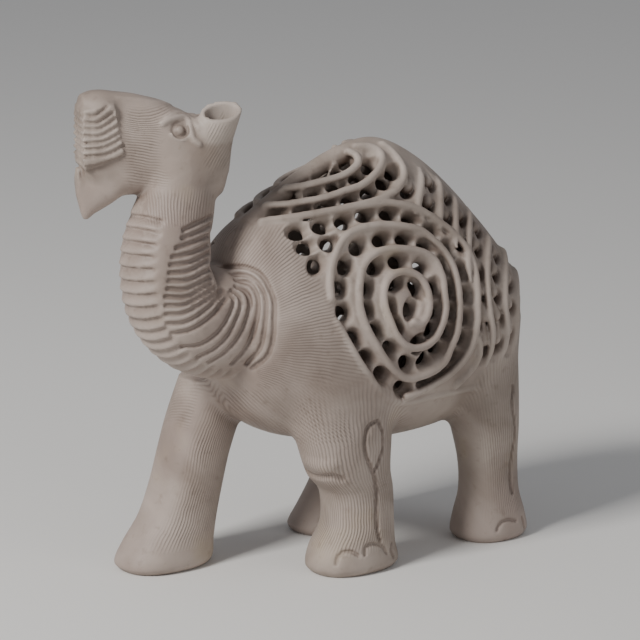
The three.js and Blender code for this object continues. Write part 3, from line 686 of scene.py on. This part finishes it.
# Nested loops on top of the hump, and a short rib behind the spiral's foot, as places in the photo
LOOPS = [
    [(262, 222), (290, 218), (320, 213), (345, 208), (368, 203), (385, 197), (397, 189), (403, 179),
     (403, 170), (398, 160), (390, 151), (382, 145)],
    [(264, 206), (285, 205), (305, 202), (325, 198), (345, 191), (360, 186), (372, 177), (380, 167),
     (382, 158), (378, 151), (368, 147), (356, 147)],
    [(274, 190), (300, 187), (322, 182), (340, 177), (352, 170), (358, 163), (356, 156), (349, 152)],
    [(477, 338), (479, 349), (476, 361), (467, 373), (455, 385)],
]
LOOP_CHANNELS = [
    [(264, 214), (277, 213), (305, 212), (327, 206), (352, 199), (371, 191), (385, 181), (394, 171),
     (390, 159)],
    [(266, 196), (292, 196), (315, 193), (337, 184), (359, 176), (370, 165), (369, 155)],
    [(281, 184), (299, 181), (323, 175), (340, 169), (347, 158)],
    [(300, 170), (323, 164), (336, 158)],
]
# x and z of the smooth edge down the front of the flank and along the belly
BLANKET_EDGE = [
    [17.6, 53.5], [12.5, 44.5], [6.5, 37.2], [1.5, 34.6], [-6, 34.6], [-15, 34.4], [-24, 34.0], [-31.5, 34.4],
]
# x and z of the ribs behind the spiral, and of the channels between them
RUMP_RIBS = [
    [[-7, 71.5], [-9, 73.7], [-11.5, 76.2], [-14, 78.6]],
    [[-12.6, 68], [-14, 70.5], [-16.5, 73.5], [-19.2, 76]],
    [[-15.6, 63.8], [-16.6, 66.3], [-18.6, 69.3], [-22, 72.6]],
    [[-17.2, 57], [-17.6, 60], [-19.2, 63.4], [-22, 66.8], [-25.6, 69.2]],
    [[-20.4, 39], [-21.6, 45], [-21, 50.5], [-22, 56.5], [-24.4, 60.6], [-28.4, 64.2]],
    [[-25, 39], [-26.4, 45], [-26, 50.5], [-28, 55.5], [-31.5, 59], [-33.8, 60]],
    [[-29.6, 39.5], [-31, 45], [-31, 50], [-33, 54], [-35.4, 56.2]],
]
RUMP_CHANNELS = [
    [[-4, 74.6], [-7, 76], [-9.6, 78.4]],
    [[-10.2, 70.6], [-13, 74], [-16.5, 77.4]],
    [[-14.2, 67.3], [-16.6, 70.8], [-20, 74.4]],
    [[-16.8, 62.6], [-18.4, 66], [-22, 70.2]],
    [[-19, 40.5], [-19.9, 47], [-19.4, 53], [-20.2, 59], [-22.4, 63.5], [-26, 67]],
    [[-22.8, 40.5], [-24, 46], [-23.4, 51.5], [-25, 57], [-29, 61.8]],
    [[-27.4, 41], [-28.8, 47], [-28.6, 52], [-31, 56.4]],
]

# Places of the holes in the photo: down the spiral, over the withers and in the loops on top of the hump
SPIRAL_HOLES = [
    (404, 390), (384, 376), (368, 360), (355, 340), (345, 313), (341, 287), (347, 265), (360, 246),
    (384, 240), (407, 240), (428, 248), (446, 266), (453, 289), (453, 311), (449, 331), (440, 348),
    (427, 360),
]
MIDDLE_HOLES = [
    (409, 365), (393, 350), (378, 332), (368, 310), (368, 287), (377, 266), (400, 262), (424, 268),
    (437, 288), (438, 311), (434, 329), (420, 344),
]
INNER_HOLES = [(397, 327), (390, 308), (396, 282), (418, 288), (412, 309)]
OUTER_HOLES = [
    (367, 215), (391, 214), (413, 221), (434, 232), (451, 249), (463, 270), (468, 294), (468, 318),
    (465, 339), (456, 357), (443, 370), (427, 381),
]
WITHERS_HOLES = [[(298, 231), (323, 225), (346, 221)], [(307, 246), (331, 243)], [(317, 264), (316, 266)]]
LOOP_HOLES = [
    [(277, 213), (305, 212), (327, 206), (352, 199), (371, 191), (386, 180), (395, 170)],
    [(274, 195), (292, 196), (315, 193), (337, 184), (359, 176), (371, 164)],
    [(281, 184), (299, 181), (323, 175), (340, 169), (347, 158)],
    [(303, 169), (321, 164), (369, 155)],
]

# Sizes of the ribs, channels, holes and lands, in millimetres
RIB_RADIUS = 1.0
RIB_LIFT = 0.1                   # how far a rib's middle is above the skin
CHANNEL_RADIUS = 2.4
CHANNEL_LIFT = 1.6
HOLE_RADIUS = 1.95
HOLE_PITCH = 6.2                 # from hole to hole down the rump
HOLE_GAP = 3.6                   # holes nearer than this to another are left out
BOWL_RADIUS = 1.55               # of the hollow round a hole, at its floor
BOWL_DEPTH = 2.6
BOWL_LENGTH = 1.4                # its length over its width
LEAF_FROM = -2.4                 # a leaf-shaped land's two ends, along its channel
LEAF_TO = 1.6


def drill(holes, at, ahead, normal):
    """One pierced hole: a round bore in a leaf-shaped hollow that meets its neighbours in a low ridge."""
    across = np.cross(normal, ahead)
    across /= np.linalg.norm(across)
    ahead = np.cross(across, normal)
    near = 5.8
    cells, x, y, z = window(at - near, at + near)
    dx, dy, dz = x - at[0], y - at[1], z - at[2]
    u = dx * ahead[0] + dy * ahead[1] + dz * ahead[2]
    v = dx * across[0] + dy * across[1] + dz * across[2]
    w = dx * normal[0] + dy * normal[1] + dz * normal[2]
    bore = np.sqrt(u**2 + v**2) - HOLE_RADIUS
    bowl = (np.sqrt((u / BOWL_LENGTH)**2 + v**2) - BOWL_RADIUS - 0.42 * (w + BOWL_DEPTH)) * 0.85
    bowl = np.maximum(bowl, -BOWL_DEPTH - w)
    shape = np.minimum(bore, bowl)
    shape = np.maximum(shape, -WALL - 2.4 - w)
    np.minimum(holes[cells], shape, out=holes[cells])


def photo_holes(trunk, side):
    """The holes that show in the photo, each with the direction of its channel."""
    out = []
    for row in [SPIRAL_HOLES, MIDDLE_HOLES, INNER_HOLES, OUTER_HOLES] + WITHERS_HOLES + LOOP_HOLES:
        xy = np.array(row, dtype=float)
        at = seen_at(xy[:, 0], xy[:, 1], trunk) * np.array([1, side, 1])
        out += list(zip(at, directions(at)))
    return out


def leaf(target, at, down, out):
    """A leaf-shaped land in a channel: sunk at its upper end and standing proud at its rounded lower end."""
    t = np.linspace(LEAF_FROM, LEAF_TO, 12)[:, None]
    radius = 1.0 + 0.22 * (t[:, 0] - LEAF_FROM)
    rise = -1.1 + 0.34 * (t[:, 0] - LEAF_FROM)
    sweep(target, at + down * t + out * (rise - radius)[:, None], radius)


def thinned(bored):
    """The holes in the order given, without those that come too near to an earlier one."""
    kept = []
    for at, ahead in bored:
        if all(np.linalg.norm(at - one) > HOLE_GAP for one, _ in kept):
            kept.append((at, ahead))
    return kept


def flank_line(trunk, spots, side, step=0.5):
    """A line on one flank from its x and z, as points on the skin."""
    return settle(trunk, even(on_flank(evenly(spots, 0.5), side), step), 1)


def photo_line(trunk, spots, side, step=0.5):
    """A line from its places in the photo, on the near flank or mirrored to the far one."""
    return settle(trunk, even(traced(spots, trunk) * np.array([1, side, 1]), step), 1)


def blanket(trunk):
    """Fields of the ribs, channels, holes and lands on both flanks, over the top and down the rump."""
    ribs, channels, holes, lands = fresh(), fresh(), fresh(), fresh()
    rows = [SPIRAL_HOLES + MIDDLE_HOLES + INNER_HOLES, OUTER_HOLES]
    for side in (1, -1):
        for line in [SPIRAL, OUTER_RIB] + LOOPS:
            points = photo_line(trunk, line, side)
            sweep(ribs, points + slope(trunk, points) * RIB_LIFT, RIB_RADIUS)
        # the rump's ribs taper at both ends
        for line in RUMP_RIBS:
            points = flank_line(trunk, line, side)
            end = np.minimum(np.arange(len(points)), np.arange(len(points))[::-1]) * 0.5
            radius = 0.45 + 0.55 * smooth(0, 4, end)
            sweep(ribs, points + slope(trunk, points) * (RIB_LIFT * radius)[:, None], radius)
        edge = flank_line(trunk, BLANKET_EDGE, side)
        sweep(ribs, edge - slope(trunk, edge) * 0.2, 0.8)
        middles = [photo_line(trunk, line, side, 0.7) for line in rows + LOOP_CHANNELS]
        behind = [flank_line(trunk, line, side, 0.7) for line in RUMP_CHANNELS]
        for points in middles + behind:
            sweep(channels, points + slope(trunk, points) * CHANNEL_LIFT, CHANNEL_RADIUS)
        bored = photo_holes(trunk, side)
        for points in behind:
            at, ahead = spaced(points, HOLE_PITCH)
            bored += list(zip(at, ahead))
            down = ahead * np.where(ahead[:, 2:] > 0, -1, 1)
            for p, way, out in zip(at, down, slope(trunk, at)):
                leaf(lands, p - way * 3.0, way, out)
        kept = thinned(bored)
        normals = slope(trunk, np.array([at for at, _ in kept]))
        for (at, ahead), normal in zip(kept, normals):
            drill(holes, at, ahead, normal)
    return ribs, channels, holes, lands


# In hundredths of the height, apart from the radii, CREST_DEPTH and RIBS_END
HOLLOW_FLOOR = 33
HOLLOW_FROM = -36                # x of the hollow's ends, unless the wall ends it first
HOLLOW_TO = 24
CREST_FROM = 26                  # x of the ends of the smooth rim along the crest
CREST_TO = -33
CREST_RADIUS = 2.4
CREST_DEPTH = 2.15               # how far the rim's middle is under the skin
RIBS_END_FROM = 55               # above this height the ribs stop at the rim, short of the middle
RIBS_END = 1.4
TAIL_RADIUS = 1.7
# x and z of the tail, which hangs down the middle of the rump
TAIL = [[-33.4, 63.5], [-36.2, 57.5], [-37.8, 50], [-37.6, 42], [-36.6, 34.5], [-36.2, 28]]


def carve():
    """The whole camel as one field of distances."""
    stone = fresh()
    cells, shape = skin_distance(body_rings(), FAR)
    stone[cells] = shape
    trunk = stone.copy()
    ribs, channels, holes, lands = blanket(trunk)
    # the hollow under the blanket, with a level floor
    _, x, y, z = window(LOW, HIGH)
    room = np.maximum(trunk + WALL, HOLLOW_FLOOR * SHARE - z)
    room = np.maximum(room, np.maximum(HOLLOW_FROM * SHARE - x, x - HOLLOW_TO * SHARE))
    stone = np.maximum(stone, -room)
    for rows in LEGS.values():
        add(stone, *skin_distance(leg_rings(rows), 4), 3.0)
    stone = soft_max(stone, -channels, 0.3)
    stone = soft_max(stone, -holes, 0.3)
    stone = soft_min(stone, lands, 0.3)
    # ribs stand on the skin and stop at the smooth rim that runs over the crest
    ribs = np.where(z > RIBS_END_FROM * SHARE, np.maximum(ribs, RIBS_END - np.abs(y)), ribs)
    stone = soft_min(stone, ribs, 0.7)
    crest = on_top(np.linspace(CREST_FROM, CREST_TO, 240), np.zeros(240))
    rim = fresh()
    sweep(rim, settle(trunk, crest, 2) - np.array([0, 0, CREST_DEPTH]), CREST_RADIUS)
    stone = soft_min(stone, rim, 0.5)
    tail = fresh()
    line = evenly([[x * SHARE, 0, z * SHARE] for x, z in TAIL], 0.5)
    sweep(tail, line + np.array([0.35, 0, 0]), TAIL_RADIUS)
    stone = soft_min(stone, tail, 0.8)
    add(stone, *skin_distance(neck_rings(), 3), 0.7)
    add(stone, *skin_distance(head_rings(SKULL), 4), 1.8)
    add(stone, *skin_distance(head_rings(JAW), 3), 0.8)
    lip(stone)
    ear(stone, 1)
    ear(stone, -1)
    return draw(stone)


def drop_crumbs(mesh):
    """Delete the specks that the carving cuts off from the block."""
    pairs = np.empty(2 * len(mesh.edges), dtype=np.int32)
    mesh.edges.foreach_get("vertices", pairs)
    first, second = pairs.reshape(-1, 2).T
    # each vertex takes the lowest number that it can reach along the edges
    label = np.arange(len(mesh.vertices))
    before = None
    while before is None or (label != before).any():
        before = label
        low = np.minimum(label[first], label[second])
        label = label.copy()
        np.minimum.at(label, first, low)
        np.minimum.at(label, second, low)
        label = label[label]
    names, sizes = np.unique(label, return_counts=True)
    loose = np.flatnonzero(label != names[sizes.argmax()])
    block = bmesh.new()
    block.from_mesh(mesh)
    block.verts.ensure_lookup_table()
    bmesh.ops.delete(block, geom=[block.verts[i] for i in loose], context="VERTS")
    block.to_mesh(mesh)
    block.free()


def surface(stone):
    """One mesh of the stone's skin, thinned to the wanted number of triangles."""
    grid = vdb.FloatGrid(FAR)
    grid.copyFromArray(stone, ijk=tuple(int(v) for v in START), tolerance=0.0)
    grid.transform = TRANSFORM
    points, tris, quads = grid.convertToPolygons(isovalue=0.0, adaptivity=0.0)
    mesh = bpy.data.meshes.new("camel_carving")
    mesh.from_pydata(points.tolist(), [], quads[:, ::-1].tolist() + tris[:, ::-1].tolist())
    mesh.update()
    piece = bpy.data.objects.new("camel_carving", mesh)
    bpy.context.scene.collection.objects.link(piece)
    count = 2 * len(quads) + len(tris)
    thin = piece.modifiers.new("thin", "DECIMATE")
    thin.ratio = min(1, TRIANGLES / count)
    bpy.context.view_layer.update()
    thinned_piece = piece.evaluated_get(bpy.context.evaluated_depsgraph_get())
    done = bpy.data.meshes.new_from_object(thinned_piece)
    piece.modifiers.clear()
    drop_crumbs(done)
    done.validate()
    piece.data = done
    done.name = "camel_carving"
    print("triangles", count, "thinned to", sum(len(p.vertices) - 2 for p in done.polygons))
    return piece


def box_share(u, v, left, right, top, bottom, soft=6):
    """1 inside a box of the photo and 0 outside it, with soft edges."""
    return (smooth(left - soft, left + soft, u) * smooth(right + soft, right - soft, u)
            * smooth(top - soft, top + soft, v) * smooth(bottom + soft, bottom - soft, v))


STROKE = 2.8                     # from one fine stroke to the next, in picture elements
LEG_STROKES = 78                 # strokes in the way round a leg

# Going down the photo, where the blanket's front edge and the neck's base line are across it
BLANKET_FRONT_V = [220, 233, 250, 268, 290, 310, 330, 350, 372, 392]
BLANKET_FRONT_U = [283, 292, 300, 309, 327, 336, 344, 353, 366, 384]
NECK_BASE_V = [262, 268, 275, 290, 305, 340, 356, 368]
NECK_BASE_U = [215, 244, 262, 272, 277, 277, 270, 255]


def strokes(points, normals):
    """The fine strokes cut over the skin: for each set, a count across the strokes and where they show."""
    units = points / SHARE
    s = (points - HEAD_AT) @ HEAD_FORWARD
    left = (points - HEAD_AT) @ HEAD_LEFT
    on_head = (smooth(76, 79, units[:, 2]) * smooth(24, 28, units[:, 0])) > 0.5
    twin = points * np.array([1, 0, 1]) + np.outer(np.abs(points[:, 1]), [0, 1, 0])
    twin_head = (HEAD_AT + np.outer(s, HEAD_FORWARD) + np.outer(np.abs(left), HEAD_LEFT)
                 + np.outer(points[:, 2], UP))
    twin[on_head] = twin_head[on_head]
    u, v = picture_place(twin)
    turned = normals.copy()
    turned[(points[:, 1] < 0) & ~on_head] *= np.array([1, -1, 1])
    far = (left < 0) & on_head
    turned[far] -= 2 * np.outer(turned[far] @ HEAD_LEFT, HEAD_LEFT)
    facing = smooth(0.05, 0.35, turned @ BACK)

    # legs: strokes run down, in even shares of the way round
    phase = np.zeros(len(points))
    share = np.zeros(len(points))
    for name, rows in LEGS.items():
        z = np.clip(units[:, 2], rows[0][0], rows[-1][0])
        _, x, y, length, width = rows_at(rows, z).T
        dx, dy = (units[:, 0] - x) / length, (units[:, 1] - y) / width
        angle = np.arctan2(dy, dx)
        near = (smooth(1.45, 1.2, np.hypot(dx, dy)) * smooth(44, 34, units[:, 2])
                * smooth(3.5, 8, units[:, 2]))
        near *= smooth(math.pi, math.pi - 0.2, np.abs(angle))
        if name != "left front":
            near *= smooth(0.85, 0.3, normals[:, 0])
        pick = near > share
        phase[pick] = (angle / (2 * np.pi) * LEG_STROKES)[pick]
        share[pick] = near[pick]
    sets = {"leg": (phase, share)}

    # shoulder: strokes fan from the chest to the edge of the pierced blanket
    edge = np.interp(v, BLANKET_FRONT_V, BLANKET_FRONT_U)
    base = np.interp(v, NECK_BASE_V, NECK_BASE_U)
    body = facing * ~on_head
    lower = v + 0.1 * (u - 300)
    sets["shoulder"] = (np.arctan2(v - 348, np.maximum(u - 185, 20)) * 118 / STROKE,
                        smooth(0, 5, edge - u) * smooth(0, 5, u - base) * smooth(223, 229, v)
                        * smooth(388, 380, lower) * body)
    sets["chest"] = ((-0.643 * u + 0.766 * v) / STROKE,
                     smooth(380, 388, lower) * smooth(452, 436, v) * smooth(212, 222, u)
                     * smooth(338, 328, u - 0.35 * (v - 380)) * body)

    # head and the top of the neck
    top = smooth(134, 118, v)
    bend = top * 7 * (1 - ((u - 141) / 26)**2) + (1 - top) * 0.12 * (u - 140)
    sets["cheek"] = ((v - bend) / STROKE,
                     box_share(u, v, 126, 168, 108, 184, 6)
                     * (1 - box_share(u, v, 160, 200, 116, 172, 4)) * facing)
    sets["skull"] = ((u + 0.55 * (v - 140)) * 0.88 / STROKE,
                     box_share(u, v, 208, 236, 124, 168, 3) * facing)
    sets["throat"] = ((u + 0.0022 * (228 - v)**2 * np.tanh((172 - u) / 12)) / STROKE,
                      0.55 * box_share(u, v, 140, 212, 192, 224, 6) * facing)
    return sets


def keep(name, values):
    """Store a number at each vertex, for the material."""
    kept = mesh.attributes.new(name, "FLOAT", "POINT")
    kept.data.foreach_set("value", np.asarray(values, dtype=np.float32))


stone = carve()
piece = surface(stone)
mesh = piece.data
places = np.empty(len(mesh.vertices) * 3)
mesh.vertices.foreach_get("co", places)
places = places.reshape(-1, 3)
outward = slope(stone, places, 0.5)

# how closed in each spot is, for the painted shade and dust in the hollows, and how near it is to an edge,
# for the painted highlight
keep("shade_and_dust_share", np.clip(1 - sample(stone, places + outward * 2.2) / 2.2, 0, 1))
keep("edge_highlight_share", np.clip(1 + sample(stone, places - outward * 1.2) / 1.2, 0, 1))
stroke_sets = strokes(places, outward)
for name, (phase, share) in stroke_sets.items():
    keep(name + "_phase", phase)
    keep(name + "_share", share)
mesh.vertices.foreach_set("co", ((places + np.array(SHIFT)) / 1000).ravel())
mesh.polygons.foreach_set("use_smooth", np.ones(len(mesh.polygons), dtype=bool))
mesh.update()


# Materials

def soapstone():
    """Warm grey-brown stone: cloudy, with painted shade and dust in the hollows, a painted highlight on
    edges, and fine cut strokes.
    """
    material = bpy.data.materials.new("soapstone")
    material.use_nodes = True
    nodes, links = material.node_tree.nodes, material.node_tree.links
    shader = nodes["Principled BSDF"]
    place = nodes.new("ShaderNodeTexCoord").outputs["Object"]

    def value(name):
        node = nodes.new("ShaderNodeAttribute")
        node.attribute_name = name
        return node.outputs["Fac"]

    def noise(scale, detail, distortion=0.0):
        node = nodes.new("ShaderNodeTexNoise")
        node.inputs["Scale"].default_value = scale
        node.inputs["Detail"].default_value = detail
        node.inputs["Distortion"].default_value = distortion
        links.new(place, node.inputs["Vector"])
        return node.outputs["Fac"]

    def feed(sockets, values):
        for socket, v in zip(sockets, values):
            if isinstance(v, (int, float, tuple)):
                socket.default_value = v
            else:
                links.new(v, socket)

    def sums(operation, *values):
        node = nodes.new("ShaderNodeMath")
        node.operation = operation
        feed(node.inputs, values)
        return node.outputs["Value"]

    def span(v, low, high, to_low=0.0, to_high=1.0):
        node = nodes.new("ShaderNodeMapRange")
        feed([node.inputs[n] for n in ("Value", "From Min", "From Max", "To Min", "To Max")],
             (v, low, high, to_low, to_high))
        return node.outputs["Result"]

    def mix(kind, factor, a, b):
        node = nodes.new("ShaderNodeMix")
        node.data_type = "RGBA"
        node.blend_type = kind
        feed((node.inputs[0], node.inputs[6], node.inputs[7]), (factor, a, b))
        return node.outputs[2]

    # base colours, a stain, dark specks, painted shade and dust in the hollows, and a painted highlight on
    # edges
    cloud = span(noise(45, 5, 0.6), 0.36, 0.66)
    patches = span(noise(14, 3), 0.42, 0.62)
    colour = mix("MIX", cloud, (0.255, 0.203, 0.168, 1), (0.440, 0.372, 0.325, 1))
    colour = mix("MIX", sums("MULTIPLY", patches, 0.35), colour, (0.360, 0.270, 0.245, 1))
    stain = span(noise(52, 3), 0.60, 0.76)
    colour = mix("MIX", sums("MULTIPLY", stain, 0.4), colour, (0.45, 0.36, 0.24, 1))
    specks = span(noise(420, 3), 0.60, 0.75)
    colour = mix("MULTIPLY", sums("MULTIPLY", specks, 0.35), colour, (0.55, 0.50, 0.46, 1))
    # painted shade and dust: darker where the stone closes in round the spot
    colour = mix("MULTIPLY", span(value("shade_and_dust_share"), 0.1, 0.9), colour, (0.42, 0.36, 0.33, 1))
    # painted highlight: paler near edges and crests
    colour = mix("SCREEN", sums("MULTIPLY", span(value("edge_highlight_share"), 0.15, 0.8), 0.6), colour,
                 (0.22, 0.20, 0.18, 1))

    # the fine strokes, darker and cut in
    wobble = sums("MULTIPLY", noise(110, 2), 2.2)
    patchy = span(noise(55, 2), 0.30, 0.60)
    cut_in = 0.0
    for name in stroke_sets:
        wave = sums("SINE", sums("MULTIPLY", sums("ADD", value(name + "_phase"), wobble), 2 * math.pi))
        groove = sums("POWER", sums("MULTIPLY", sums("ADD", wave, 1.0), 0.5), 1.6)
        shown = sums("MULTIPLY", groove, sums("MULTIPLY", value(name + "_share"), patchy))
        cut_in = sums("ADD", cut_in, shown)
    colour = mix("MULTIPLY", sums("MULTIPLY", cut_in, 0.5), colour, (0.48, 0.43, 0.39, 1))
    links.new(colour, shader.inputs["Base Color"])

    grain = sums("MULTIPLY", noise(900, 4), 0.10)
    height = sums("SUBTRACT", grain, cut_in)
    bump = nodes.new("ShaderNodeBump")
    bump.inputs["Strength"].default_value = 0.8
    bump.inputs["Distance"].default_value = 0.00018
    links.new(height, bump.inputs["Height"])
    links.new(bump.outputs["Normal"], shader.inputs["Normal"])
    links.new(span(cloud, 0.0, 1.0, 0.50, 0.66), shader.inputs["Roughness"])
    return material


piece.data.materials.append(soapstone())
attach(piece, "root")
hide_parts("camel")


# The studio

def plain(name, colour, roughness):
    material = bpy.data.materials.new(name)
    material.use_nodes = True
    shader = material.node_tree.nodes["Principled BSDF"]
    shader.inputs["Base Color"].default_value = (*colour, 1)
    shader.inputs["Roughness"].default_value = roughness
    return material


bpy.ops.mesh.primitive_plane_add(size=6)
floor = bpy.context.object
floor.name = "floor"
floor.data.materials.append(plain("floor", (0.78, 0.77, 0.75), 0.9))

world = bpy.data.worlds.new("studio")
world.use_nodes = True
world.node_tree.nodes["Background"].inputs["Color"].default_value = (0.93, 0.95, 1.0, 1)
world.node_tree.nodes["Background"].inputs["Strength"].default_value = 0.30
bpy.context.scene.world = world


def lamp(name, where, size, power_watts):
    """A square lamp that faces the camel."""
    light = bpy.data.lights.new(name, "AREA")
    light.size = size
    light.energy = power_watts
    light.color = (1.0, 0.98, 0.95)
    it = bpy.data.objects.new(name, light)
    it.location = where
    it.rotation_euler = (Vector((0, 0, 0.06)) - Vector(where)).to_track_quat("-Z", "Y").to_euler()
    bpy.context.scene.collection.objects.link(it)


lamp("key", (0.76, 0.08, 0.68), 0.25, 9.5)
lamp("fill", (-0.3, 0.9, 0.35), 0.5, 1.0)

camera = bpy.data.cameras.new("camera")
camera.lens = 36 * FOCAL / PICTURE
camera.sensor_width = 36
camera.clip_start = 0.01
view = bpy.data.objects.new("camera", camera)
turn = Matrix((RIGHT, VIEW_UP, BACK)).transposed().to_4x4()
view.matrix_world = Matrix.Translation((Vector(EYE_POINT) + SHIFT) / 1000) @ turn
bpy.context.scene.collection.objects.link(view)
bpy.context.scene.camera = view
